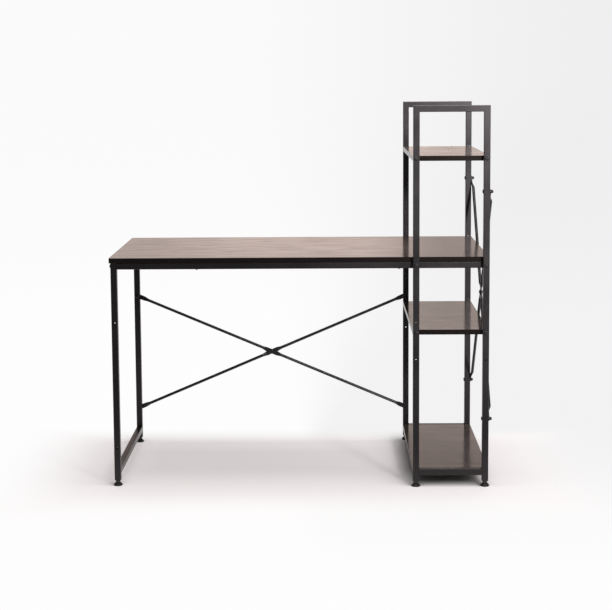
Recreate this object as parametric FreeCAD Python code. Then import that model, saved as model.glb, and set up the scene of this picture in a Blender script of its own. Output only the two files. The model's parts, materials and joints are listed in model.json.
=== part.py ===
import FreeCAD, Part
import os

Vector = FreeCAD.Vector
X_AXIS = Vector(1, 0, 0)
Y_AXIS = Vector(0, 1, 0)
Z_AXIS = Vector(0, 0, 1)

# A desk with an open shelf tower at its right end, in millimetres.
# X runs along the desk, Y from its front to its back and Z up from the floor.

# Boards
desk_length = 1200.0
board_depth = 600.0
board_thickness = 16.0
band_thickness = 1.0
band_corner = 2.0
desk_height = 736.0
left_overhang = 5.0

# Shelf tower
tower_width = 240.0
tower_height = 1211.0
top_shelf_drop = 157.0
middle_shelf_height = 504.0
bottom_bar_height = 37.0

# Square steel tube
tube_side = 20.0
tube_wall = 1.2
tube_corner = 2.0

# Bolts, screws and nuts
bolt_diameter = 6.0
bolt_clearance = 0.25
head_diameter = 13.0
head_height = 3.2
head_crown_share = 0.72
nut_width = 10.0
nut_height = 5.0
cap_height = 3.0
cap_width = 9.0
cap_crown_width = 4.5
cap_bore_depth = 6.5
nut_clearance = 0.05
shelf_screw_bite = 30.0
wood_screw_diameter = 4.0
wood_screw_head_diameter = 9.0
wood_screw_head_height = 2.4
desk_screw_bite = 11.0
pilot_clearance = 0.05
rail_insert_length = 26.0
rail_bolt_bite = 22.0
end_cap_flange = 1.5
end_cap_gap = 0.8
plug_clearance = 0.1
desk_screw_shares = (0.27, 0.955)

# Tabs under the bottom shelf
tab_length = 34.0
tab_reach = 26.0
tab_inset = 20.0
tab_screw_bite = 12.0

# Spare and brace holes in the posts
brace_low_height = 123.0
brace_high_height = 528.0
spare_hole_height = 410.0
side_brace_low_height = 219.0
side_brace_drop = 269.0

# Brace rods, pressed flat where they are bolted
rod_diameter = 10.0
flat_thickness = 3.0
flat_width = 15.0
flat_reach = 26.0
crossing_reach = 20.0
taper_length = 16.0
side_rod_clearance = 0.4
rod_hole_clearance = 0.5

# Levelling feet
pad_diameter = 28.0
pad_height = 9.0
pad_rim_height = 4.5
pad_top_diameter = 20.0
socket_depth = 5.0
boss_diameter = 11.0
boss_clearance = 0.1
collar_width = 14.0
collar_height = 9.0
stud_diameter = 8.0
stud_length = 26.0
thread_clearance = 0.1
plug_length = 24.0
plug_flange = 1.5

# Cuts run past the faces that they open
overrun = 5.0

# Places worked out from the sizes above
foot_height = pad_height + collar_height
post_bottom = foot_height + plug_flange
board_underside = desk_height - board_thickness
rail_low = board_underside - tube_side
rail_middle = rail_low + tube_side / 2
post_middle = tube_side / 2
bolt_hole = bolt_diameter + 2 * bolt_clearance
rod_hole = bolt_diameter + 2 * rod_hole_clearance
cap_nut_height = nut_height + cap_height

side_end_reach = flat_thickness + cap_nut_height
side_crossing_reach = rod_diameter / 2 + side_rod_clearance + flat_thickness + nut_height
overall_length = desk_length + max(side_end_reach, side_crossing_reach)
front_reach = max(head_height, (pad_diameter - tube_side) / 2)
overall_depth = front_reach + tube_side + board_depth + tube_side + cap_nut_height
left_end = -overall_length / 2
right_face = left_end + desk_length
tower_front = -overall_depth / 2 + front_reach
board_front = tower_front + tube_side
board_rear = board_front + board_depth
tower_back = board_rear + tube_side

left_post = left_end + left_overhang
left_post_rear = board_rear - tube_side
tower_left = right_face - tower_width
tower_right = right_face - tube_side
bottom_shelf_height = bottom_bar_height + tube_side
side_brace_high_height = tower_height - side_brace_drop
shelf_heights = {
    "top_shelf": tower_height - top_shelf_drop,
    "middle_shelf": middle_shelf_height,
    "bottom_shelf": bottom_shelf_height,
}
post_shelves = ("top_shelf", "middle_shelf")

parts = {}


def is_parallel(edge, axis):
    """Does a straight edge run along an axis?"""
    return edge.tangentAt(edge.FirstParameter).cross(axis).Length < Part.Precision.confusion()


def square_tube(corner, axis, length):
    """A hollow square tube from its lowest corner, with rounded long edges and open ends."""
    across = X_AXIS + Y_AXIS + Z_AXIS - axis
    size = across * tube_side + axis * length
    outer = Part.makeBox(size.x, size.y, size.z, corner)
    outer = outer.makeFillet(tube_corner, [edge for edge in outer.Edges if is_parallel(edge, axis)])
    hollow = across * (tube_side - 2 * tube_wall) + axis * (length + 2 * overrun)
    start = corner + across * tube_wall - axis * overrun
    return outer.cut(Part.makeBox(hollow.x, hollow.y, hollow.z, start))


def bore(point, axis, diameter, depth):
    """The cutter of a round hole that starts at a face and goes in along an axis."""
    return Part.makeCylinder(diameter / 2, depth + overrun, point - axis * overrun, axis)


def through_bore(point, axis, diameter):
    """The cutter of a hole through both walls of a tube."""
    return bore(point, axis, diameter, tube_side + overrun)


def turned(outline, base, axis):
    """A solid turned from an outline of (radius, height) points, set on a base along an axis."""
    points = [Vector(radius, 0, height) for radius, height in outline]
    face = Part.Face(Part.makePolygon(points + points[:1]))
    solid = face.revolve(Vector(0, 0, 0), Z_AXIS, 360)
    solid.Placement = FreeCAD.Placement(base, FreeCAD.Rotation(Z_AXIS, axis))
    return solid


def fastener(seat, axis, diameter, length, width, height):
    """A pan-headed screw or bolt: the head sits on its seat and the shank runs along the axis."""
    outline = [
        (0, -height),
        (width / 2 * head_crown_share, -height),
        (width / 2, 0),
        (diameter / 2, 0),
        (diameter / 2, length),
        (0, length),
    ]
    return turned(outline, seat, axis)


def bolt(seat, axis, length):
    return fastener(seat, axis, bolt_diameter, length, head_diameter, head_height)


def wood_screw(seat, axis, length):
    return fastener(seat, axis, wood_screw_diameter, length, wood_screw_head_diameter, wood_screw_head_height)


def hexagon(base, axis, width, height):
    """A hexagonal prism of a given width across flats."""
    face = Part.Face(Part.makePolygon(hexagon_corners(width)))
    solid = face.extrude(Z_AXIS * height)
    solid.Placement = FreeCAD.Placement(base, FreeCAD.Rotation(Z_AXIS, axis))
    return solid


def hexagon_corners(width):
    spin = FreeCAD.Rotation(Z_AXIS, 60)
    corner = FreeCAD.Rotation(Z_AXIS, 30).multVec(X_AXIS * (width / 2))
    corner = corner * (width / 2 / corner.x)
    corners = [corner]
    for turn in range(6):
        corners.append(spin.multVec(corners[-1]))
    return corners


def nut(base, axis):
    """A plain hexagon nut, with its bearing face on the base."""
    hole = bore(base, axis, bolt_diameter + 2 * nut_clearance, nut_height + overrun)
    return hexagon(base, axis, nut_width, nut_height).cut(hole)


def cap_nut(base, axis):
    """A domed nut that covers the end of its bolt."""
    crown = Part.makeCone(cap_width / 2, cap_crown_width / 2, cap_height, base + axis * nut_height, axis)
    body = hexagon(base, axis, nut_width, nut_height).fuse(crown)
    return body.cut(bore(base, axis, bolt_diameter + 2 * nut_clearance, cap_bore_depth))


def group(solids):
    return Part.makeCompound(solids)


# Boards, each with an edge band all round


def board(name, corner, length):
    """A board and its edge band, from the board's lowest corner."""
    outer = Part.makeBox(length, board_depth, board_thickness, corner)
    outer = outer.makeFillet(band_corner, [edge for edge in outer.Edges if is_parallel(edge, Z_AXIS)])
    inset = (X_AXIS + Y_AXIS) * band_thickness
    core_length = length - 2 * band_thickness
    core_depth = board_depth - 2 * band_thickness
    core = Part.makeBox(core_length, core_depth, board_thickness, corner + inset)
    parts[name] = core
    parts[name + "_edge_band"] = outer.cut(core)


board("desk_top", Vector(left_end, board_front, board_underside), desk_length)
for shelf, height in shelf_heights.items():
    board(shelf, Vector(tower_left, board_front, height - board_thickness), tower_width)


# Left end frame

left_post_length = board_underside - post_bottom
crossbar_length = board_depth - 2 * tube_side
left_posts = {"left_front_post": board_front, "left_rear_post": left_post_rear}
for name, y in left_posts.items():
    parts[name] = square_tube(Vector(left_post, y, post_bottom), Z_AXIS, left_post_length)
crossbar_front = board_front + tube_side
for name, z in {"left_upper_crossbar": rail_low, "left_lower_crossbar": bottom_bar_height}.items():
    parts[name] = square_tube(Vector(left_post, crossbar_front, z), Y_AXIS, crossbar_length)


# Rails under the desk top

rail_start = left_post + tube_side
rail_end = right_face - end_cap_flange
rail_length = rail_end - rail_start
rails = {"front_rail": board_front, "rear_rail": board_rear - tube_side}
for name, y in rails.items():
    parts[name] = square_tube(Vector(rail_start, y, rail_low), X_AXIS, rail_length)


# Tower frames: two mitred portals, each with a bottom rail between its posts


def mitre(corner_x, inward, y, for_post):
    """The wedge beyond the diagonal of a top corner, on the bar's side or on the post's side."""
    far = tube_side + overrun
    outside = corner_x - inward * overrun
    inside = corner_x + inward * far
    top = tower_height + overrun
    bottom = tower_height - far
    start = y - overrun
    third = Vector(inside, start, top) if for_post else Vector(outside, start, bottom)
    points = [Vector(outside, start, top), Vector(inside, start, bottom), third]
    face = Part.Face(Part.makePolygon(points + points[:1]))
    return face.extrude(Y_AXIS * (tube_side + 2 * overrun))


tower_post_length = tower_height - post_bottom
bottom_rail_length = tower_width - 2 * tube_side
tower_frames = {"front": tower_front, "rear": board_rear}
for side, y in tower_frames.items():
    left = square_tube(Vector(tower_left, y, post_bottom), Z_AXIS, tower_post_length)
    right = square_tube(Vector(tower_right, y, post_bottom), Z_AXIS, tower_post_length)
    bar = square_tube(Vector(tower_left, y, tower_height - tube_side), X_AXIS, tower_width)
    rail = Vector(tower_left + tube_side, y, bottom_bar_height)
    parts["tower_" + side + "_left_post"] = left.cut(mitre(tower_left, 1, y, True))
    parts["tower_" + side + "_right_post"] = right.cut(mitre(right_face, -1, y, True))
    bar = bar.cut(mitre(tower_left, 1, y, False))
    parts["tower_" + side + "_top_bar"] = bar.cut(mitre(right_face, -1, y, False))
    parts["tower_" + side + "_bottom_rail"] = square_tube(rail, X_AXIS, bottom_rail_length)


# Holes through the posts, front to back


def drill(name, cutters):
    parts[name] = parts[name].cut(cutters)


brace_heights = (brace_low_height, brace_high_height)
left_post_middle = left_post + post_middle
for name, y in left_posts.items():
    drill(name, [through_bore(Vector(left_post_middle, y, z), Y_AXIS, bolt_hole) for z in brace_heights])

tower_post_middles = {"left": tower_left + post_middle, "right": tower_right + post_middle}
shelf_middles = {name: height - board_thickness / 2 for name, height in shelf_heights.items()}
joint_heights = [rail_middle] + [shelf_middles[name] for name in post_shelves]
tower_hole_heights = {
    "left": [*joint_heights, spare_hole_height, *brace_heights],
    "right": [*joint_heights, spare_hole_height],
}
for side, y in tower_frames.items():
    for hand, x in tower_post_middles.items():
        cutters = [through_bore(Vector(x, y, z), Y_AXIS, bolt_hole) for z in tower_hole_heights[hand]]
        drill("tower_" + side + "_" + hand + "_post", cutters)


# Screws that hold the two upper shelves, through the tower posts and into the shelf edges

frame_seats = {"front": (tower_front, Y_AXIS), "rear": (tower_back, -Y_AXIS)}
shelf_screw_length = tube_side + shelf_screw_bite
shelf_pilot = bolt_diameter + 2 * pilot_clearance
shelf_screws = []
for shelf in post_shelves:
    pilots = []
    for y, axis in frame_seats.values():
        for x in tower_post_middles.values():
            seat = Vector(x, y, shelf_middles[shelf])
            shelf_screws.append(bolt(seat, axis, shelf_screw_length))
            pilots.append(bore(seat, axis, shelf_pilot, shelf_screw_length))
    drill(shelf, pilots)
    drill(shelf + "_edge_band", pilots)
parts["shelf_screws"] = group(shelf_screws)


# Tabs welded inside the bottom rails, which carry the bottom shelf, and the screws up through them

tab_thickness = tube_side - board_thickness
tab_middles = (
    tower_left + tube_side + tab_inset + tab_length / 2,
    tower_right - tab_inset - tab_length / 2,
)
wood_hole = wood_screw_diameter + 2 * bolt_clearance
wood_pilot = wood_screw_diameter + 2 * pilot_clearance
tab_screw_length = tab_thickness + tab_screw_bite
tabs = []
tab_screws = []
tab_pilots = []
for y in (board_front, board_rear - tab_reach):
    for x in tab_middles:
        corner = Vector(x - tab_length / 2, y, bottom_bar_height)
        seat = Vector(x, y + tab_reach / 2, bottom_bar_height)
        plate = Part.makeBox(tab_length, tab_reach, tab_thickness, corner)
        tabs.append(plate.cut(bore(seat, Z_AXIS, wood_hole, tab_thickness + overrun)))
        tab_screws.append(wood_screw(seat, Z_AXIS, tab_screw_length))
        tab_pilots.append(bore(seat, Z_AXIS, wood_pilot, tab_screw_length))
drill("bottom_shelf", tab_pilots)
parts["bottom_shelf_tabs"] = group(tabs)
parts["bottom_shelf_screws"] = group(tab_screws)


# Bolts that tie the rails to the tower posts, with a nut behind each rail

rail_bolts = []
rail_nuts = []
for name, side in {"front_rail": "front", "rear_rail": "rear"}.items():
    y, axis = frame_seats[side]
    for x in tower_post_middles.values():
        seat = Vector(x, y, rail_middle)
        far_face = seat + axis * (2 * tube_side)
        rail_bolts.append(bolt(seat, axis, 2 * tube_side + nut_height))
        rail_nuts.append(nut(far_face, axis))
        drill(name, [through_bore(seat + axis * tube_side, axis, bolt_hole)])
parts["rail_bolts"] = group(rail_bolts)
parts["rail_nuts"] = group(rail_nuts)


# Bolts that draw the rails against the left posts, into a threaded insert in each rail's end


def tube_filler(corner, length):
    """A square block that fits inside a tube along X."""
    size = tube_side - 2 * tube_wall - 2 * plug_clearance
    inset = (Y_AXIS + Z_AXIS) * (tube_wall + plug_clearance)
    return Part.makeBox(length, size, size, corner + inset)


def end_cap(corner):
    """A flanged cap in a tube's right end, from the lowest corner of the end."""
    flange = Part.makeBox(end_cap_flange, tube_side, tube_side, corner)
    flange = flange.makeFillet(tube_corner, [edge for edge in flange.Edges if is_parallel(edge, X_AXIS)])
    return flange.fuse(tube_filler(corner - X_AXIS * end_cap_length, end_cap_length))


end_cap_length = rail_end - (tower_right + post_middle) - bolt_hole / 2 - end_cap_gap
end_bolts = []
end_inserts = []
end_caps = []
for (post, y), rail in zip(left_posts.items(), rails):
    seat = Vector(left_post, y + post_middle, rail_middle)
    end_bolts.append(bolt(seat, X_AXIS, tube_side + rail_bolt_bite))
    thread = bore(seat, X_AXIS, bolt_diameter + 2 * nut_clearance, tube_side + rail_insert_length + overrun)
    end_inserts.append(tube_filler(Vector(rail_start, y, rail_low), rail_insert_length).cut(thread))
    end_caps.append(end_cap(Vector(rail_end, y, rail_low)))
    drill(post, [through_bore(seat, X_AXIS, bolt_hole)])
parts["rail_end_bolts"] = group(end_bolts)
parts["rail_end_inserts"] = group(end_inserts)
parts["rail_end_caps"] = group(end_caps)


# Screws up through the rails into the desk top

desk_screws = []
desk_pilots = []
desk_screw_length = tube_side + desk_screw_bite
free_span = tower_left - rail_start
for name, y in rails.items():
    for share in desk_screw_shares:
        seat = Vector(rail_start + free_span * share, y + post_middle, rail_low)
        desk_screws.append(wood_screw(seat, Z_AXIS, desk_screw_length))
        desk_pilots.append(bore(seat, Z_AXIS, wood_pilot, desk_screw_length))
        drill(name, [through_bore(seat, Z_AXIS, wood_hole)])
drill("desk_top", desk_pilots)
parts["desk_top_screws"] = group(desk_screws)


# Brace rods: round bars with pressed ends and a pressed crossing


def flat_block(start, length, low):
    """A pressed stretch of rod, with its lower face at a given place beside the rod's line."""
    corner = Vector(start, low, -flat_width / 2)
    return Part.makeBox(length, flat_thickness, flat_width, corner)


def flat_tip(middle, low):
    """The rounded tip round a bolt hole."""
    return Part.makeCylinder(flat_width / 2, flat_thickness, Vector(middle, low, 0), Y_AXIS)


def taper(flat_at, round_at, low):
    """The stretch where a rod goes from round to flat."""
    high = low + flat_thickness
    half = flat_width / 2
    corners = [(high, half), (low, half), (low, -half), (high, -half)]
    flat_points = [Vector(flat_at, y, z) for y, z in corners]
    flat_wire = Part.makePolygon(flat_points + flat_points[:1])
    radius = Y_AXIS * (rod_diameter / 2)
    step = [FreeCAD.Rotation(X_AXIS, 45 * count).multVec(radius) for count in range(1, 10)]
    around = [point + X_AXIS * round_at for point in step]
    arcs = [Part.Arc(*around[first : first + 3]).toShape() for first in range(0, 8, 2)]
    return Part.makeLoft([flat_wire, Part.Wire(arcs)], True, True)


def brace_rod(length, end_lows, middle_low):
    """A rod between two bolt holes, along X, with the flats' lower faces at the given places along Y."""
    middle = length / 2
    round_start = flat_reach + taper_length
    crossing_start = middle - crossing_reach
    round_length = crossing_start - taper_length - round_start
    start_low, end_low = end_lows
    tapers = [
        taper(flat_reach, round_start, start_low),
        taper(crossing_start, crossing_start - taper_length, middle_low),
        taper(middle + crossing_reach, middle + crossing_reach + taper_length, middle_low),
        taper(length - flat_reach, length - round_start, end_low),
    ]
    flats = [
        flat_tip(0, start_low),
        flat_block(0, flat_reach, start_low),
        flat_block(crossing_start, 2 * crossing_reach, middle_low),
        flat_block(length - flat_reach, flat_reach, end_low),
        flat_tip(length, end_low),
    ]
    second_start = middle + crossing_reach + taper_length
    rounds = [
        Part.makeCylinder(rod_diameter / 2, round_length, X_AXIS * start, X_AXIS)
        for start in (round_start, second_start)
    ]
    rod = rounds[0].multiFuse(rounds[1:] + tapers + flats).removeSplitter()
    lows = {0: start_low, middle: middle_low, length: end_low}
    holes = [bore(Vector(x, low, 0), Y_AXIS, rod_hole, flat_thickness + overrun) for x, low in lows.items()]
    return rod.cut(holes)


def place_rod(start, end, normal, end_lows, middle_low):
    """A rod from one bolt hole to the other, with its flats facing along the normal."""
    line = end - start
    rod = brace_rod(line.Length, end_lows, middle_low)
    along = line.normalize()
    turn = FreeCAD.Rotation(along, normal, along.cross(normal), "XYZ")
    rod.Placement = FreeCAD.Placement(start, turn)
    return rod


# Rear brace, from the back of the left rear post to the front of the tower's rear left post

rear_left_x = left_post_middle
rear_right_x = tower_post_middles["left"]
rear_lows = (0, -flat_thickness)
rear_rods = {
    "rear_brace_rising": (brace_low_height, brace_high_height, 0),
    "rear_brace_falling": (brace_high_height, brace_low_height, -flat_thickness),
}
for name, (left_z, right_z, middle_low) in rear_rods.items():
    start = Vector(rear_left_x, board_rear, left_z)
    end = Vector(rear_right_x, board_rear, right_z)
    parts[name] = place_rod(start, end, Y_AXIS, rear_lows, middle_low)

rear_grip = tube_side + flat_thickness
cap_bolt_length = rear_grip + nut_height
rear_bolts = []
rear_nuts = []
for z in brace_heights:
    for x, seat_y in ((rear_left_x, left_post_rear), (rear_right_x, board_rear - flat_thickness)):
        seat = Vector(x, seat_y, z)
        rear_bolts.append(bolt(seat, Y_AXIS, cap_bolt_length))
        rear_nuts.append(cap_nut(seat + Y_AXIS * rear_grip, Y_AXIS))
brace_middle_height = (brace_low_height + brace_high_height) / 2
crossing = Vector((rear_left_x + rear_right_x) / 2, board_rear, brace_middle_height)
crossing_grip = 2 * flat_thickness
rear_bolts.append(bolt(crossing - Y_AXIS * flat_thickness, Y_AXIS, crossing_grip + nut_height))
rear_nuts.append(nut(crossing + Y_AXIS * flat_thickness, Y_AXIS))
parts["rear_brace_bolts"] = group(rear_bolts)
parts["rear_brace_nuts"] = group(rear_nuts)


# Side brace, on the outer faces of the tower's right posts

side_line = rod_diameter / 2 + side_rod_clearance
side_x = right_face + side_line
side_lows = (-side_line, -side_line)
side_front_y = tower_front + post_middle
side_rear_y = board_rear + post_middle
side_heights = (side_brace_low_height, side_brace_high_height)
side_rods = {
    "side_brace_rising": (side_brace_low_height, side_brace_high_height, 0),
    "side_brace_falling": (side_brace_high_height, side_brace_low_height, -flat_thickness),
}
for name, (front_z, rear_z, middle_low) in side_rods.items():
    start = Vector(side_x, side_front_y, front_z)
    end = Vector(side_x, side_rear_y, rear_z)
    parts[name] = place_rod(start, end, X_AXIS, side_lows, middle_low)

side_bolts = []
side_nuts = []
for side, y in {"front": side_front_y, "rear": side_rear_y}.items():
    for z in side_heights:
        seat = Vector(tower_right, y, z)
        side_bolts.append(bolt(seat, X_AXIS, cap_bolt_length))
        side_nuts.append(cap_nut(seat + X_AXIS * rear_grip, X_AXIS))
        drill("tower_" + side + "_right_post", [through_bore(seat, X_AXIS, bolt_hole)])
side_middle_height = (side_brace_low_height + side_brace_high_height) / 2
crossing = Vector(side_x, (side_front_y + side_rear_y) / 2, side_middle_height)
side_bolts.append(bolt(crossing - X_AXIS * flat_thickness, X_AXIS, crossing_grip + nut_height))
side_nuts.append(nut(crossing + X_AXIS * flat_thickness, X_AXIS))
parts["side_brace_bolts"] = group(side_bolts)
parts["side_brace_nuts"] = group(side_nuts)


# Levelling feet: a pad on the floor, a stud that turns in it, and a threaded plug in the post

feet = {"left_front": (left_post_middle, board_front + post_middle)}
feet["left_rear"] = (left_post_middle, left_post_rear + post_middle)
for side, y in tower_frames.items():
    for hand, x in tower_post_middles.items():
        feet["tower_" + side + "_" + hand] = (x, y + post_middle)


def foot_pad(floor):
    """A round pad with a sloping top and a socket for the stud."""
    socket = boss_diameter / 2 + boss_clearance
    outline = [
        (0, 0),
        (pad_diameter / 2, 0),
        (pad_diameter / 2, pad_rim_height),
        (pad_top_diameter / 2, pad_height),
        (socket, pad_height),
        (socket, pad_height - socket_depth),
        (0, pad_height - socket_depth),
    ]
    return turned(outline, floor, Z_AXIS)


def foot_stud(floor):
    """A threaded stud with a hexagon collar and a round boss below it."""
    boss_base = floor + Z_AXIS * (pad_height - socket_depth)
    boss = Part.makeCylinder(boss_diameter / 2, socket_depth, boss_base, Z_AXIS)
    collar = hexagon(floor + Z_AXIS * pad_height, Z_AXIS, collar_width, collar_height)
    stud = Part.makeCylinder(stud_diameter / 2, stud_length, floor + Z_AXIS * foot_height, Z_AXIS)
    return boss.fuse([collar, stud])


def foot_plug(floor):
    """A flanged plug that closes a post's lower end and takes the stud's thread."""
    bottom = floor + Z_AXIS * foot_height
    across = X_AXIS + Y_AXIS
    flange = Part.makeBox(tube_side, tube_side, plug_flange, bottom - across * (tube_side / 2))
    flange = flange.makeFillet(tube_corner, [edge for edge in flange.Edges if is_parallel(edge, Z_AXIS)])
    core_side = tube_side - 2 * tube_wall - 2 * plug_clearance
    core_base = bottom + Z_AXIS * plug_flange - across * (core_side / 2)
    core = Part.makeBox(core_side, core_side, plug_length, core_base)
    thread = bore(bottom, Z_AXIS, stud_diameter + 2 * thread_clearance, plug_flange + plug_length + overrun)
    return flange.fuse(core).cut(thread)


plugs = []
for name, (x, y) in feet.items():
    floor = Vector(x, y, 0)
    parts[name + "_foot_pad"] = foot_pad(floor)
    parts[name + "_foot_stud"] = foot_stud(floor)
    plugs.append(foot_plug(floor))
parts["foot_plugs"] = group(plugs)


os.makedirs("parts", exist_ok=True)
for name, shape in parts.items():
    shape.exportStep("parts/" + name + ".step")
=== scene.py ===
import json
import math
import random

import bmesh
import bpy
from mathutils import Matrix, Vector

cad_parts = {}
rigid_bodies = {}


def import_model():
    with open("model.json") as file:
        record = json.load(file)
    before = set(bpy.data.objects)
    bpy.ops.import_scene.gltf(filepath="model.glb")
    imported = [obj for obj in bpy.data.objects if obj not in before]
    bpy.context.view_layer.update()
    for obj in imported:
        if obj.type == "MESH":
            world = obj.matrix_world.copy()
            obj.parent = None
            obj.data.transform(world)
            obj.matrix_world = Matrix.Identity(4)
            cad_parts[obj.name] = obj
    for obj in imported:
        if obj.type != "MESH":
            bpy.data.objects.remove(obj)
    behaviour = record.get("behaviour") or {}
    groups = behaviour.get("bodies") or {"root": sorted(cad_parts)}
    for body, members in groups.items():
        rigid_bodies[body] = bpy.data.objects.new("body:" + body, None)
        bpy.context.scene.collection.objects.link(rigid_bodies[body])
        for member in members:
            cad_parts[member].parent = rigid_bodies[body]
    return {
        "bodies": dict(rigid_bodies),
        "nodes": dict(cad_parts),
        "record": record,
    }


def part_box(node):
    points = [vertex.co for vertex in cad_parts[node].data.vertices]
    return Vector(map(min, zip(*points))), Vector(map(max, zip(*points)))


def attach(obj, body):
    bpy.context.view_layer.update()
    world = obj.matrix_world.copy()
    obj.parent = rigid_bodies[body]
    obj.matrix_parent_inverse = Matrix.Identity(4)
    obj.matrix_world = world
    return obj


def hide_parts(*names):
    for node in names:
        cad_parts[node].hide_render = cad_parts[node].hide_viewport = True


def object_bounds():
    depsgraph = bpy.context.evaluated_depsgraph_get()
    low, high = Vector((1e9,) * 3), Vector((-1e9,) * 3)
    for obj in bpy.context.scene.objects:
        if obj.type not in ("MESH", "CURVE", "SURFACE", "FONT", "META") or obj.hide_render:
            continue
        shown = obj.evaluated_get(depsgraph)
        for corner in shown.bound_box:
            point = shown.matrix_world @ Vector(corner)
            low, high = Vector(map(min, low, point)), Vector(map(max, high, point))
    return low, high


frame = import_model()
cad_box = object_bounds()
scene = bpy.context.scene
scene.view_settings.view_transform = "Standard"
X_AXIS = Vector((1, 0, 0))
Y_AXIS = Vector((0, 1, 0))
Z_AXIS = Vector((0, 0, 1))
NONE_TO_ALL = (0.0, 1.0)
ALL_TO_NONE = (1.0, 0.0)


# Helpers for node trees


def set_inputs(node, values):
    for name, value in values.items():
        node.inputs[name].default_value = value


def start_material(name):
    """A new node material, with its tree and its main shader."""
    made = bpy.data.materials.new(name)
    made.use_nodes = True
    return made, made.node_tree, made.node_tree.nodes["Principled BSDF"]


def noise(tree, features, detail, roughness=0.5, distortion=0.0):
    """A noise between 0 and 1 with a given number of features to the metre along each axis."""
    place = tree.nodes.new("ShaderNodeTexCoord")
    mapping = tree.nodes.new("ShaderNodeMapping")
    mapping.inputs["Scale"].default_value = features
    tree.links.new(place.outputs["Object"], mapping.inputs["Vector"])
    made = tree.nodes.new("ShaderNodeTexNoise")
    set_inputs(made, {"Scale": 1.0, "Detail": detail, "Roughness": roughness, "Distortion": distortion})
    tree.links.new(mapping.outputs["Vector"], made.inputs["Vector"])
    return made.outputs["Fac"]


def ramp(tree, value, stops, colours):
    """A colour that runs through the given colours, one at each stop of the value."""
    made = tree.nodes.new("ShaderNodeValToRGB")
    elements = made.color_ramp.elements
    while len(elements) < len(stops):
        elements.new(0.5)
    for element, stop, colour in zip(elements, stops, colours):
        element.position = stop
        element.color = (*colour, 1.0)
    tree.links.new(value, made.inputs["Fac"])
    return made.outputs["Color"]


def spread(tree, value, source, target):
    """A value moved smoothly from one range to another and kept inside it."""
    made = tree.nodes.new("ShaderNodeMapRange")
    made.interpolation_type = "SMOOTHSTEP"
    set_inputs(made, {"From Min": source[0], "From Max": source[1]})
    set_inputs(made, {"To Min": target[0], "To Max": target[1]})
    tree.links.new(value, made.inputs["Value"])
    return made.outputs["Result"]


def multiply_colours(tree, first, second, share=1.0):
    """One colour multiplied by a share of another."""
    made = tree.nodes.new("ShaderNodeMix")
    made.data_type = "RGBA"
    made.blend_type = "MULTIPLY"
    made.inputs["Factor"].default_value = share
    tree.links.new(first, made.inputs["A"])
    tree.links.new(second, made.inputs["B"])
    return made.outputs["Result"]


def arithmetic(tree, operation, *values):
    """A sum, product or the like of numbers and sockets."""
    made = tree.nodes.new("ShaderNodeMath")
    made.operation = operation
    for socket, value in zip(made.inputs, values):
        if isinstance(value, (int, float)):
            socket.default_value = value
        else:
            tree.links.new(value, socket)
    return made.outputs["Value"]


def bump(tree, shader, height, strength, distance):
    made = tree.nodes.new("ShaderNodeBump")
    set_inputs(made, {"Strength": strength, "Distance": distance})
    tree.links.new(height, made.inputs["Height"])
    tree.links.new(made.outputs["Normal"], shader.inputs["Normal"])


# Materials of the part


def walnut_material():
    """Melamine-faced board: a dark walnut grain along X under a satin face."""
    made, tree, shader = start_material("walnut_board")
    dark = (0.034, 0.0227, 0.0178)
    middle = (0.052, 0.0348, 0.0277)
    light = (0.074, 0.0506, 0.0407)
    figure_stops = (0.42, 0.5, 0.58)
    vein_stops = (0.36, 0.64)
    vein_shares = ((0.70, 0.68, 0.67), (1.22, 1.22, 1.22))
    vein_roughness = (0.185, 0.11)
    streak_stops = (0.3, 0.7)
    streak_shares = ((0.74, 0.72, 0.70), (1.14, 1.13, 1.12))
    pore_stops = (0.3, 0.42)
    pore_shares = ((0.55, 0.53, 0.52), (1.0, 1.0, 1.0))
    pore_blend_share = 0.6
    figure = noise(tree, features=(0.8, 17.0, 17.0), detail=5.0, roughness=0.55, distortion=0.5)
    veins = noise(tree, features=(7.0, 34.0, 34.0), detail=3.0, roughness=0.6)
    streaks = noise(tree, features=(7.0, 260.0, 260.0), detail=4.0, roughness=0.6)
    pores = noise(tree, features=(60.0, 1500.0, 1500.0), detail=2.0)
    base = ramp(tree, figure, figure_stops, (dark, middle, light))
    streaked = multiply_colours(tree, base, ramp(tree, streaks, streak_stops, streak_shares))
    veined = multiply_colours(tree, streaked, ramp(tree, veins, vein_stops, vein_shares))
    pitted = ramp(tree, pores, pore_stops, pore_shares)
    colour = multiply_colours(tree, veined, pitted, pore_blend_share)
    tree.links.new(colour, shader.inputs["Base Color"])
    tree.links.new(spread(tree, veins, vein_stops, vein_roughness), shader.inputs["Roughness"])
    set_inputs(shader, {"IOR": 1.51})
    bump(tree, shader, pores, strength=0.12, distance=0.0002)
    return made


def band_material():
    """Edge band: almost black brown with a faint grain."""
    made, tree, shader = start_material("edge_band")
    dark = (0.0062, 0.0040, 0.0036)
    light = (0.0118, 0.0078, 0.0071)
    streak_stops = (0.3, 0.7)
    streak_roughness = (0.27, 0.19)
    streaks = noise(tree, features=(14.0, 14.0, 420.0), detail=4.0, roughness=0.6)
    tree.links.new(ramp(tree, streaks, streak_stops, (dark, light)), shader.inputs["Base Color"])
    tree.links.new(spread(tree, streaks, streak_stops, streak_roughness), shader.inputs["Roughness"])
    set_inputs(shader, {"IOR": 1.46, "Specular IOR Level": 0.42, "Specular Tint": (1.0, 0.86, 0.84, 1.0)})
    bump(tree, shader, streaks, strength=0.08, distance=0.0002)
    return made


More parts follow.
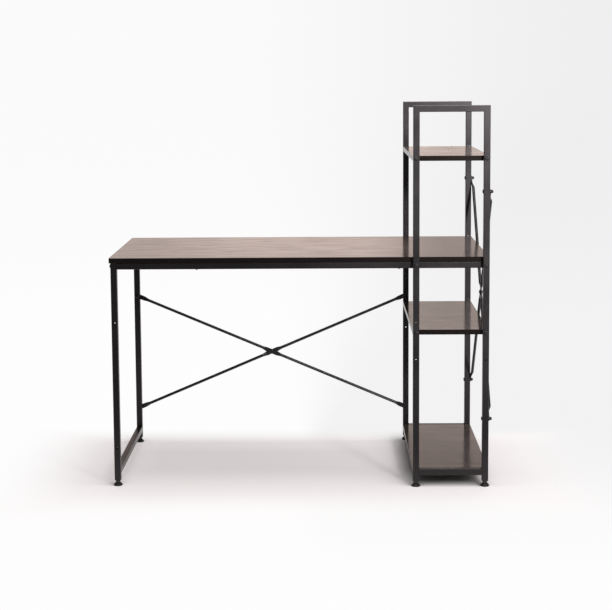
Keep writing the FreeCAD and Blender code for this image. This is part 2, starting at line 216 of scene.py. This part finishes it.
def coat_material(name, dark, light, roughness, peel):
    """A black coat with an uneven tone, an uneven gloss and a fine orange peel."""
    made, tree, shader = start_material(name)
    tone_stops = (0.35, 0.65)
    gloss_stops = (0.3, 0.7)
    grit_share = 0.35
    clouds = noise(tree, features=(9.0, 9.0, 9.0), detail=3.0)
    grit = noise(tree, features=(900.0, 900.0, 900.0), detail=2.0)
    cloud_part = arithmetic(tree, "MULTIPLY", clouds, 1 - grit_share)
    tone = arithmetic(tree, "MULTIPLY_ADD", grit, grit_share, cloud_part)
    tree.links.new(ramp(tree, tone, tone_stops, (dark, light)), shader.inputs["Base Color"])
    tree.links.new(spread(tree, tone, gloss_stops, roughness), shader.inputs["Roughness"])
    set_inputs(shader, {"IOR": 1.5, "Specular Tint": (1.0, 0.91, 0.94, 1.0)})
    bump(tree, shader, grit, strength=peel, distance=0.0003)
    return made


materials = {
    "walnut_board": walnut_material(),
    "edge_band": band_material(),
    "black_steel": coat_material(
        "black_steel",
        dark=(0.0115, 0.0105, 0.0110),
        light=(0.019, 0.0172, 0.0180),
        roughness=(0.30, 0.43),
        peel=0.12,
    ),
    "black_fasteners": coat_material(
        "black_fasteners",
        dark=(0.006, 0.0057, 0.006),
        light=(0.014, 0.0134, 0.014),
        roughness=(0.40, 0.56),
        peel=0.06,
    ),
    "foot_steel": coat_material(
        "foot_steel",
        dark=(0.016, 0.016, 0.017),
        light=(0.036, 0.036, 0.038),
        roughness=(0.25, 0.4),
        peel=0.05,
    ),
    "black_plastic": coat_material(
        "black_plastic",
        dark=(0.012, 0.012, 0.012),
        light=(0.022, 0.022, 0.022),
        roughness=(0.42, 0.6),
        peel=0.16,
    ),
}
for part in frame["record"]["subparts"]:
    mesh = frame["nodes"][part["node"]].data
    mesh.materials.clear()
    mesh.materials.append(materials[part["material_slot"]])


# Turned and hexagonal hardware, built from rings of points

RING_POINTS = 48
ring_angles = [2 * math.pi * step / RING_POINTS for step in range(RING_POINTS)]
hexagon_turn = math.radians(60)
sharp_angle = math.radians(38)
place_digits = 5


def round_ring(radius, height):
    return [Vector((radius * math.cos(a), radius * math.sin(a), height)) for a in ring_angles]


def hexagon_radius(width, angle):
    """The distance from the middle of a hexagon to its edge."""
    beside = (angle + hexagon_turn / 2) % hexagon_turn - hexagon_turn / 2
    return width / 2 / math.cos(beside)


def hexagon_ring(width, limit, height):
    """A hexagon with its corners turned down to a limiting radius."""
    points = []
    for angle in ring_angles:
        radius = min(limit, hexagon_radius(width, angle))
        points.append(Vector((radius * math.cos(angle), radius * math.sin(angle), height)))
    return points


def add_skin(build, rings, closed=False):
    """Faces between neighbouring rings; the last ring joins the first, or else both ends are capped."""
    rows = [[build.verts.new(point) for point in ring] for ring in rings]
    following = rows[1:] + rows[:1] if closed else rows[1:]
    for low, high in zip(rows, following):
        count = len(low)
        for step in range(count):
            after = (step + 1) % count
            build.faces.new((low[step], low[after], high[after], high[step]))
    if not closed:
        build.faces.new(rows[0])
        build.faces.new(rows[-1])


def add_rings(build, rings, base, axis, closed=False):
    """A skin over rings of points, set on a base along an axis."""
    place = Matrix.Translation(base) @ Z_AXIS.rotation_difference(axis).to_matrix().to_4x4()
    add_skin(build, [[place @ point for point in ring] for ring in rings], closed)


def add_piece(name, build, body, slot, replaced=()):
    """A finished piece that rides on a body and may stand for CAD nodes."""
    bmesh.ops.recalc_face_normals(build, faces=build.faces)
    mesh = bpy.data.meshes.new(name)
    build.to_mesh(mesh)
    build.free()
    mesh.shade_smooth()
    mesh.set_sharp_from_angle(angle=sharp_angle)
    mesh.materials.append(materials[slot])
    made = bpy.data.objects.new(name, mesh)
    scene.collection.objects.link(made)
    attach(made, body)
    if replaced:
        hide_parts(*replaced)


def solids_of(node):
    """The separate solids of a CAD node, each as the list of its points."""
    mesh = frame["nodes"][node].data
    keys = [tuple(round(value, place_digits) for value in vertex.co) for vertex in mesh.vertices]
    leader = {key: key for key in keys}

    def lead(key):
        while leader[key] != key:
            leader[key] = leader[leader[key]]
            key = leader[key]
        return key

    for face in mesh.polygons:
        first = lead(keys[face.vertices[0]])
        for corner in face.vertices[1:]:
            leader[lead(keys[corner])] = first
    found = {}
    for key in leader:
        found.setdefault(lead(key), []).append(Vector(key))
    return [found[key] for key in sorted(found)]


def bounds_of(points):
    low = Vector([min(point[axis] for point in points) for axis in range(3)])
    high = Vector([max(point[axis] for point in points) for axis in range(3)])
    return low, high


def wide_end(points, axis):
    """The middle of the wider end of a turned solid, the way to its other end, and its length."""
    low, high = bounds_of(points)
    middle = (low + high) / 2
    length = (high - low).dot(axis)
    start = middle - axis * (length / 2)
    end = middle + axis * (length / 2)
    reach = length / 4

    def girth(face):
        near = [point for point in points if abs((point - face).dot(axis)) < reach]
        return max(((point - face) - axis * (point - face).dot(axis)).length for point in near)

    if girth(start) >= girth(end):
        return start, axis, length
    return end, -axis, length


# Bolts and screws

bolt_radius = 0.003
head_radius = 0.0065
head_height = 0.0032
socket_width = 0.004
socket_depth = 0.0021
head_curve_shares = [
    (1.0, 0.0),
    (1.0, 0.14),
    (0.975, 0.4),
    (0.9, 0.66),
    (0.79, 0.86),
    (0.66, 0.97),
    (0.52, 1.0),
]
tip_share = 0.78


def add_bolt(build, points, axis):
    """A bolt with a domed head and a hexagon socket."""
    top, along, length = wide_end(points, axis)
    rings = [hexagon_ring(socket_width, socket_width, socket_depth)]
    rings.append(hexagon_ring(socket_width, socket_width, 0.0))
    for radius_share, height_share in reversed(head_curve_shares):
        rings.append(round_ring(head_radius * radius_share, head_height * (1 - height_share)))
    rings.append(round_ring(bolt_radius, head_height))
    chamfer = bolt_radius * (1 - tip_share)
    rings.append(round_ring(bolt_radius, length - chamfer))
    rings.append(round_ring(bolt_radius * tip_share, length))
    add_rings(build, rings, top, along)


bolt_nodes = {
    "rail_bolts": Y_AXIS,
    "shelf_screws": Y_AXIS,
    "rail_end_bolts": X_AXIS,
    "rear_brace_bolts": Y_AXIS,
    "side_brace_bolts": X_AXIS,
}
for node, axis in bolt_nodes.items():
    build = bmesh.new()
    for points in solids_of(node):
        add_bolt(build, points, axis)
    add_piece(node + "_detailed", build, "frame", "black_fasteners", [node])


# Nuts; one that is much longer than a plain nut is a cap nut

nut_width = 0.010
nut_height = 0.005
nut_chamfer = 0.0007
nut_bore_radius = 0.00305
cap_length_share = 1.5
dome_radius = 0.0045
dome_neck = 0.0005
dome_steps = 8


def nut_rings():
    """The outside of a hexagon nut, from its bearing face up to its upper chamfer."""
    rings = [hexagon_ring(nut_width, nut_width / 2, 0.0)]
    for height in (nut_chamfer, nut_height - nut_chamfer):
        rings.append(hexagon_ring(nut_width, nut_width, height))
    return rings


def add_plain_nut(build, base, along):
    """A hexagon nut; its bore is open from end to end."""
    rings = nut_rings()
    rings.append(hexagon_ring(nut_width, nut_width / 2, nut_height))
    for height in (nut_height, 0.0):
        rings.append(round_ring(nut_bore_radius, height))
    add_rings(build, rings, base, along, closed=True)


def add_cap_nut(build, base, along, length):
    """A domed nut."""
    rings = nut_rings()
    rings.append(round_ring(dome_radius + nut_chamfer / 2, nut_height))
    rings.append(round_ring(dome_radius, nut_height + dome_neck))
    rise = length - nut_height - dome_neck
    for step in range(1, dome_steps):
        angle = math.pi / 2 * step / dome_steps
        height = nut_height + dome_neck + rise * math.sin(angle)
        rings.append(round_ring(dome_radius * math.cos(angle), height))
    add_rings(build, rings, base, along)


nut_nodes = {"rail_nuts": Y_AXIS, "rear_brace_nuts": Y_AXIS, "side_brace_nuts": X_AXIS}
for node, axis in nut_nodes.items():
    build = bmesh.new()
    for points in solids_of(node):
        base, along, length = wide_end(points, axis)
        if length > nut_height * cap_length_share:
            add_cap_nut(build, base, along, length)
        else:
            add_plain_nut(build, base, along)
    add_piece(node + "_detailed", build, "frame", "black_fasteners", [node])


# Levelling feet

stud_radius = 0.004
thread_pitch = 0.00125
thread_depth = 0.0006
thread_steps = 6
collar_width = 0.014
collar_chamfer = 0.0009
boss_radius = 0.0055
boss_length = 0.005
turning_gap = 0.0001
pad_rim_shares = [(0.0, 0.93), (0.1, 0.985), (0.22, 1.0), (0.38, 1.0), (0.46, 0.98)]
pad_crown_shares = [(0.56, 0.91), (0.7, 0.835), (0.84, 0.775), (0.94, 0.745), (1.0, 0.71)]


def thread_ring(height):
    """One ring of a right-handed thread."""
    points = []
    for angle in ring_angles:
        phase = (height / thread_pitch - angle / (2 * math.pi)) % 1.0
        radius = stud_radius - thread_depth * abs(2 * phase - 1)
        points.append(Vector((radius * math.cos(angle), radius * math.sin(angle), height)))
    return points


def foot_of(node):
    """The middle of a node's underside, and the node's height."""
    low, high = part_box(node)
    middle = (low + high) / 2
    return Vector((middle.x, middle.y, low.z)), high.z - low.z


def add_stud(build, node, pad_top, collar_top):
    """A stud with a round boss, a turned hexagon collar and a thread."""
    base, length = foot_of(node)
    boss = pad_top - base.z
    collar = collar_top - base.z
    rings = [round_ring(boss_radius, 0.0), round_ring(boss_radius, boss)]
    rings.append(hexagon_ring(collar_width, collar_width / 2, boss))
    rings.append(hexagon_ring(collar_width, collar_width, boss + collar_chamfer))
    rings.append(hexagon_ring(collar_width, collar_width, collar - collar_chamfer))
    rings.append(hexagon_ring(collar_width, collar_width / 2, collar))
    rings.append(round_ring(stud_radius - thread_depth, collar))
    steps = int((length - collar) / thread_pitch * thread_steps)
    for step in range(1, steps):
        rings.append(thread_ring(collar + (length - collar) * step / steps))
    rings.append(round_ring(stud_radius - thread_depth, length))
    add_rings(build, rings, base, Z_AXIS)


def add_pad(build, node):
    """A moulded pad with a rounded rim and a sloping crown with a socket."""
    low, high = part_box(node)
    base, full_height = foot_of(node)
    radius = (high.x - low.x) / 2
    height = full_height - turning_gap
    socket = boss_radius + turning_gap
    rings = []
    for height_share, radius_share in pad_rim_shares + pad_crown_shares:
        rings.append(round_ring(radius * radius_share, height * height_share))
    rings.append(round_ring(socket, height))
    rings.append(round_ring(socket, height - boss_length))
    add_rings(build, rings, base, Z_AXIS)


foot_names = [body[: -len("_pad")] for body in frame["bodies"] if body.endswith("_pad")]
collar_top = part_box("foot_plugs")[0].z
for name in foot_names:
    pad_node = name + "_foot_pad"
    stud_node = name + "_foot_stud"
    pad_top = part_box(pad_node)[1].z
    build = bmesh.new()
    add_pad(build, pad_node)
    add_piece(pad_node + "_moulded", build, name + "_pad", "black_plastic", [pad_node])
    build = bmesh.new()
    add_stud(build, stud_node, pad_top, collar_top)
    add_piece(stud_node + "_threaded", build, name + "_stud", "foot_steel", [stud_node])


# Weld beads in the inner corners of the frames

bead_radius = 0.0017
bead_inset = 0.0021
bead_points = 12
bead_rows = 40
bead_rise_share = 0.15
bead_end_share = 0.35
bead_taper_share = 5
bead_size_shares = (0.95, 1.05)
ripple_length = 0.0016
ripple_share = 0.1
weld_random = random.Random(7)


def add_bead(build, start, end, first_normal, second_normal):
    """A rippled bead along the corner of two faces."""
    along = (end - start).normalized()
    length = (end - start).length
    outward = (first_normal + second_normal).normalized()
    side = along.cross(outward)
    rings = []
    for row in range(bead_rows + 1):
        share = row / bead_rows
        taper = min(1.0, bead_end_share + bead_taper_share * min(share, 1 - share))
        ripple = 1 + ripple_share * math.sin(2 * math.pi * share * length / ripple_length)
        radius = bead_radius * taper * ripple * weld_random.uniform(*bead_size_shares)
        middle = start.lerp(end, share) + outward * (bead_radius * bead_rise_share)
        ring = []
        for point in range(bead_points):
            angle = 2 * math.pi * point / bead_points
            ring.append(middle + outward * (radius * math.cos(angle)) + side * (radius * math.sin(angle)))
        rings.append(ring)
    add_skin(build, rings)


def weld_bar(build, bar, axis, levels):
    """Beads where a bar meets the posts at both its ends, along its top or bottom edges."""
    low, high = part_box(bar)
    across = Vector([abs(value) for value in Z_AXIS.cross(axis)])
    start_side = low.dot(across) + bead_inset
    end_side = high.dot(across) - bead_inset
    for place, facing in ((low.dot(axis), axis), (high.dot(axis), -axis)):
        for level in levels:
            height = high.z if level > 0 else low.z
            corner = axis * place + Z_AXIS * height
            start = corner + across * start_side
            end = corner + across * end_side
            add_bead(build, start, end, facing, Z_AXIS * level)


build = bmesh.new()
weld_bar(build, "tower_front_bottom_rail", X_AXIS, (1, -1))
weld_bar(build, "tower_rear_bottom_rail", X_AXIS, (1, -1))
weld_bar(build, "left_lower_crossbar", Y_AXIS, (1, -1))
weld_bar(build, "left_upper_crossbar", Y_AXIS, (-1,))
add_piece("weld_beads", build, "frame", "black_steel")


# Camera, worked out from edges of the desk in the photo; angles in radians, offset from the desk's front

image_width = 612
image_height = 610
focal_pixels = 1519.672
axis_row = 244.0
camera_yaw = -0.01354
camera_pitch = 0.11278
camera_roll = -0.00657
camera_offset = Vector((0.088396, -4.752547, 1.317043))

board_low, board_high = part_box("desk_top_edge_band")
camera_place = Vector(((board_low.x + board_high.x) / 2, board_low.y, 0.0)) + camera_offset
right = Vector((math.cos(camera_yaw), -math.sin(camera_yaw), 0.0))
ahead = Vector((math.sin(camera_yaw), math.cos(camera_yaw), 0.0))
look = ahead * math.cos(camera_pitch) - Z_AXIS * math.sin(camera_pitch)
upward = Z_AXIS * math.cos(camera_pitch) + ahead * math.sin(camera_pitch)
rolled_right = right * math.cos(camera_roll) + upward * math.sin(camera_roll)
rolled_up = upward * math.cos(camera_roll) - right * math.sin(camera_roll)
camera_matrix = Matrix((rolled_right, rolled_up, -look)).transposed().to_4x4()
camera_matrix.translation = camera_place
camera_data = bpy.data.cameras.new("camera")
camera_data.sensor_fit = "HORIZONTAL"
camera_data.sensor_width = 36.0
camera_data.lens = focal_pixels * camera_data.sensor_width / image_width
camera_data.shift_y = (axis_row - image_height / 2) / image_width
camera_data.clip_end = 500.0
camera = bpy.data.objects.new("camera", camera_data)
camera.matrix_world = camera_matrix
scene.collection.objects.link(camera)
scene.camera = camera


# Helpers for the floor and the surroundings


def vector_part(tree, operation, vector):
    """The outputs of a node that works on one vector."""
    made = tree.nodes.new("ShaderNodeVectorMath")
    made.operation = operation
    tree.links.new(vector, made.inputs[0])
    return made.outputs


def level_part(tree, vector):
    """A vector with its height taken out."""
    made = tree.nodes.new("ShaderNodeVectorMath")
    made.operation = "MULTIPLY"
    made.inputs[1].default_value = (1.0, 1.0, 0.0)
    tree.links.new(vector, made.inputs[0])
    return made.outputs["Vector"]


def separate(tree, vector):
    """The X, Y and Z of a vector."""
    made = tree.nodes.new("ShaderNodeSeparateXYZ")
    tree.links.new(vector, made.inputs["Vector"])
    return made.outputs


def glow(tree, kind, colour, strength):
    """An even light of one colour; the strength is a number or a socket."""
    made = tree.nodes.new(kind)
    made.inputs["Color"].default_value = (*colour, 1.0)
    if isinstance(strength, float):
        made.inputs["Strength"].default_value = strength
    else:
        tree.links.new(strength, made.inputs["Strength"])
    return made.outputs[0]


def mix_shaders(tree, factor, first, second):
    made = tree.nodes.new("ShaderNodeMixShader")
    tree.links.new(factor, made.inputs["Fac"])
    tree.links.new(first, made.inputs[1])
    tree.links.new(second, made.inputs[2])
    return made.outputs["Shader"]


def ray_kinds(tree):
    """1 for what the camera sees directly, and 1 for what it sees in a reflection."""
    path = tree.nodes.new("ShaderNodeLightPath").outputs
    direct = arithmetic(tree, "MAXIMUM", path["Is Camera Ray"], path["Is Transmission Ray"])
    indirect = arithmetic(tree, "SUBTRACT", 1.0, direct)
    mirrored = arithmetic(tree, "MULTIPLY", path["Is Glossy Ray"], indirect)
    return direct, mirrored


# Floor: lit and shaded near the desk, with a painted light and its painted shadow there, an even white
# far from it; places and ranges in metres

white = (1.0, 1.0, 1.0)
floor_half = 120.0
floor_drop = 0.0002
floor_white = 0.985
floor_colour = (0.60, 0.59, 0.585, 1.0)
lit_shares = (0.515, 0.522, 0.515)
# Colour shares of a painted light that stands in for a soft lamp on the floor, then the reach, range and
# direction of its painted shadow
painted_light_shares = (0.555, 0.508, 0.51)
painted_shadow_reach = 0.3
painted_shadow_range = (0.45, 0.95)
painted_light_way = (0.36, -0.78, 0.51)
fade_range = (0.03, 0.45)
fade_back_range = (0.25, 0.5)
far_fall = 0.03
far_nearness = (0.02, 0.3)
right_fall = 0.095
right_turn_range = (-0.08, 0.2)
right_depth_range = (-1.3, 0.4)
front_floor_level = 0.19
front_floor_range = (-1.0, -0.3)


def far_floor(tree, place):
    """The white floor far from the desk, a little darker to the right and in the distance."""
    flat = level_part(tree, place)
    to_right = separate(tree, vector_part(tree, "NORMALIZE", flat)["Vector"])["X"]
    turned = spread(tree, to_right, right_turn_range, (0.0, right_fall))
    depth = spread(tree, separate(tree, place)["Y"], right_depth_range, NONE_TO_ALL)
    fall_right = arithmetic(tree, "MULTIPLY", turned, depth)
    nearness = arithmetic(tree, "DIVIDE", 1.0, vector_part(tree, "LENGTH", flat)["Value"])
    fall_far = spread(tree, nearness, far_nearness, (far_fall, 0.0))
    fall = arithmetic(tree, "ADD", fall_right, fall_far)
    level = arithmetic(tree, "SUBTRACT", floor_white, fall)
    return glow(tree, "ShaderNodeEmission", white, level)


def near_floor(tree):
    """The floor by the desk: lamp light with its shadows, and a painted light from one side whose painted
    shadow falls where the desk shelters the floor.
    """
    lit = tree.nodes.new("ShaderNodeBsdfDiffuse")
    lit.inputs["Color"].default_value = (*lit_shares, 1.0)
    toward_light = tree.nodes.new("ShaderNodeCombineXYZ")
    set_inputs(toward_light, dict(zip("XYZ", painted_light_way)))
    # Painted shadow: occlusion looking toward the painted light's side dims the painted light where the
    # desk shelters the floor
    painted_shadow_occlusion = tree.nodes.new("ShaderNodeAmbientOcclusion")
    set_inputs(painted_shadow_occlusion, {"Distance": painted_shadow_reach})
    tree.links.new(toward_light.outputs["Vector"], painted_shadow_occlusion.inputs["Normal"])
    painted_light_share = spread(tree, painted_shadow_occlusion.outputs["AO"], painted_shadow_range, NONE_TO_ALL)
    painted_light = glow(tree, "ShaderNodeEmission", painted_light_shares, painted_light_share)
    both = tree.nodes.new("ShaderNodeAddShader")
    tree.links.new(lit.outputs["BSDF"], both.inputs[0])
    tree.links.new(painted_light, both.inputs[1])
    return both.outputs["Shader"]


def past_desk(tree, along):
    """0 by the desk and 1 away from it and behind it."""
    past_end = arithmetic(tree, "SUBTRACT", arithmetic(tree, "ABSOLUTE", along["X"]), cad_box[1].x)
    past_front = arithmetic(tree, "SUBTRACT", arithmetic(tree, "ABSOLUTE", along["Y"]), cad_box[1].y)
    outside = arithmetic(tree, "MAXIMUM", past_end, past_front)
    away = spread(tree, outside, fade_range, NONE_TO_ALL)
    behind = spread(tree, along["Y"], fade_back_range, NONE_TO_ALL)
    return arithmetic(tree, "MAXIMUM", away, behind)


def floor_material():
    """A pale floor that keeps the shadow near the desk and fades into the white surroundings."""
    made, tree, plain = start_material("floor")
    set_inputs(plain, {"Base Color": floor_colour, "Roughness": 0.9, "Specular IOR Level": 0.0})
    place = tree.nodes.new("ShaderNodeNewGeometry").outputs["Position"]
    along = separate(tree, place)
    shown = mix_shaders(tree, past_desk(tree, along), near_floor(tree), far_floor(tree, place))
    dim = glow(tree, "ShaderNodeEmission", white, front_floor_level)
    in_front = spread(tree, along["Y"], front_floor_range, ALL_TO_NONE)
    reflected = mix_shaders(tree, in_front, shown, dim)
    direct, mirrored = ray_kinds(tree)
    surface = mix_shaders(tree, mirrored, plain.outputs["BSDF"], reflected)
    surface = mix_shaders(tree, direct, surface, shown)
    tree.links.new(surface, tree.nodes["Material Output"].inputs["Surface"])
    return made


floor_mesh = bpy.data.meshes.new("floor")
corners = [(x * floor_half, y * floor_half, 0.0) for x, y in ((-1, -1), (1, -1), (1, 1), (-1, 1))]
floor_mesh.from_pydata(corners, [], [(0, 1, 2, 3)])
floor_mesh.materials.append(floor_material())
floor = bpy.data.objects.new("floor", floor_mesh)
floor.location.z = -floor_drop
scene.collection.objects.link(floor)


# Surroundings; ranges are parts of a direction of length 1

backdrop_colour = (1.0, 0.83, 0.76)
front_level = 0.06
back_range = (-0.3, 0.5)
high_level = 0.4
high_range = (0.215, 0.26)
middle_level = 1.0
left_level = 0.81
left_range = (-0.125, -0.045)
right_level = 1.0
right_range = (0.02, 0.08)
dip_height = 0.122
dip_share = 0.43
dip_range = (0.015, 0.066)
light_colour = (1.0, 0.99, 0.98)
world_strength = 0.14


def backdrop_level(tree, heading, height):
    """The backdrop's level: dim in front and high up, softer to the left, with a dip to the right."""
    lowered = spread(tree, height, high_range, (1.0, high_level))
    behind = spread(tree, heading["Y"], back_range, (front_level, 1.0))
    off_dip = arithmetic(tree, "ABSOLUTE", arithmetic(tree, "SUBTRACT", height, dip_height))
    far_right = spread(tree, off_dip, dip_range, (right_level * dip_share, right_level))
    rightward = spread(tree, heading["X"], right_range, NONE_TO_ALL)
    drop = arithmetic(tree, "SUBTRACT", far_right, middle_level)
    beside_right = arithmetic(tree, "MULTIPLY_ADD", rightward, drop, middle_level)
    beside_left = spread(tree, heading["X"], left_range, (left_level, middle_level))
    beside = arithmetic(tree, "MINIMUM", beside_left, beside_right)
    return arithmetic(tree, "MULTIPLY", arithmetic(tree, "MULTIPLY", lowered, behind), beside)


def build_world():
    """White surroundings to be seen, a backdrop for reflections, and an even soft light for the rest."""
    world = bpy.data.worlds.new("surroundings")
    world.use_nodes = True
    tree = world.node_tree
    scene.world = world
    direction = tree.nodes.new("ShaderNodeTexCoord").outputs["Generated"]
    height = separate(tree, direction)["Z"]
    heading = separate(tree, vector_part(tree, "NORMALIZE", level_part(tree, direction))["Vector"])
    fall = spread(tree, heading["X"], right_turn_range, (0.0, right_fall))
    seen = tree.nodes["Background"]
    seen.inputs["Color"].default_value = (*white, 1.0)
    seen_level = arithmetic(tree, "SUBTRACT", floor_white - far_fall, fall)
    tree.links.new(seen_level, seen.inputs["Strength"])
    level = backdrop_level(tree, heading, height)
    backdrop = glow(tree, "ShaderNodeBackground", backdrop_colour, level)
    light = glow(tree, "ShaderNodeBackground", light_colour, world_strength)
    direct, mirrored = ray_kinds(tree)
    both = mix_shaders(tree, mirrored, light, backdrop)
    both = mix_shaders(tree, direct, both, seen.outputs["Background"])
    tree.links.new(both, tree.nodes["World Output"].inputs["Surface"])


build_world()


# Lamps; places in metres, angles in degrees, power in watts


def place_lamp(name, data, place, target):
    """A lamp that faces a target."""
    lamp = bpy.data.objects.new(name, data)
    lamp.location = place
    aim = Vector(target) - Vector(place)
    lamp.rotation_euler = aim.to_track_quat("-Z", "Y").to_euler()
    lamp.visible_camera = False
    scene.collection.objects.link(lamp)


def soft_box(name, place, target, width, height, power):
    data = bpy.data.lights.new(name, "AREA")
    data.shape = "RECTANGLE"
    data.size = width
    data.size_y = height
    data.energy = power
    place_lamp(name, data, place, target)


def beam(name, place, target, radius, angle, power):
    data = bpy.data.lights.new(name, "SPOT")
    data.shadow_soft_size = radius
    data.spot_size = math.radians(angle)
    data.spot_blend = 1.0
    data.energy = power
    place_lamp(name, data, place, target)


beam(
    "key_light",
    place=(1.75, -3.7, 1.9),
    target=(0.86, 0.0, 0.93),
    radius=0.2,
    angle=34.0,
    power=590.0,
)
soft_box(
    "side_light",
    place=(1.9, -3.6, 2.6),
    target=(0.0, 0.0, 0.0),
    width=0.4,
    height=0.4,
    power=36.0,
)
soft_box(
    "top_light",
    place=(0.1, -0.05, 2.5),
    target=(0.1, -0.05, 0.0),
    width=2.0,
    height=1.5,
    power=60.0,
)
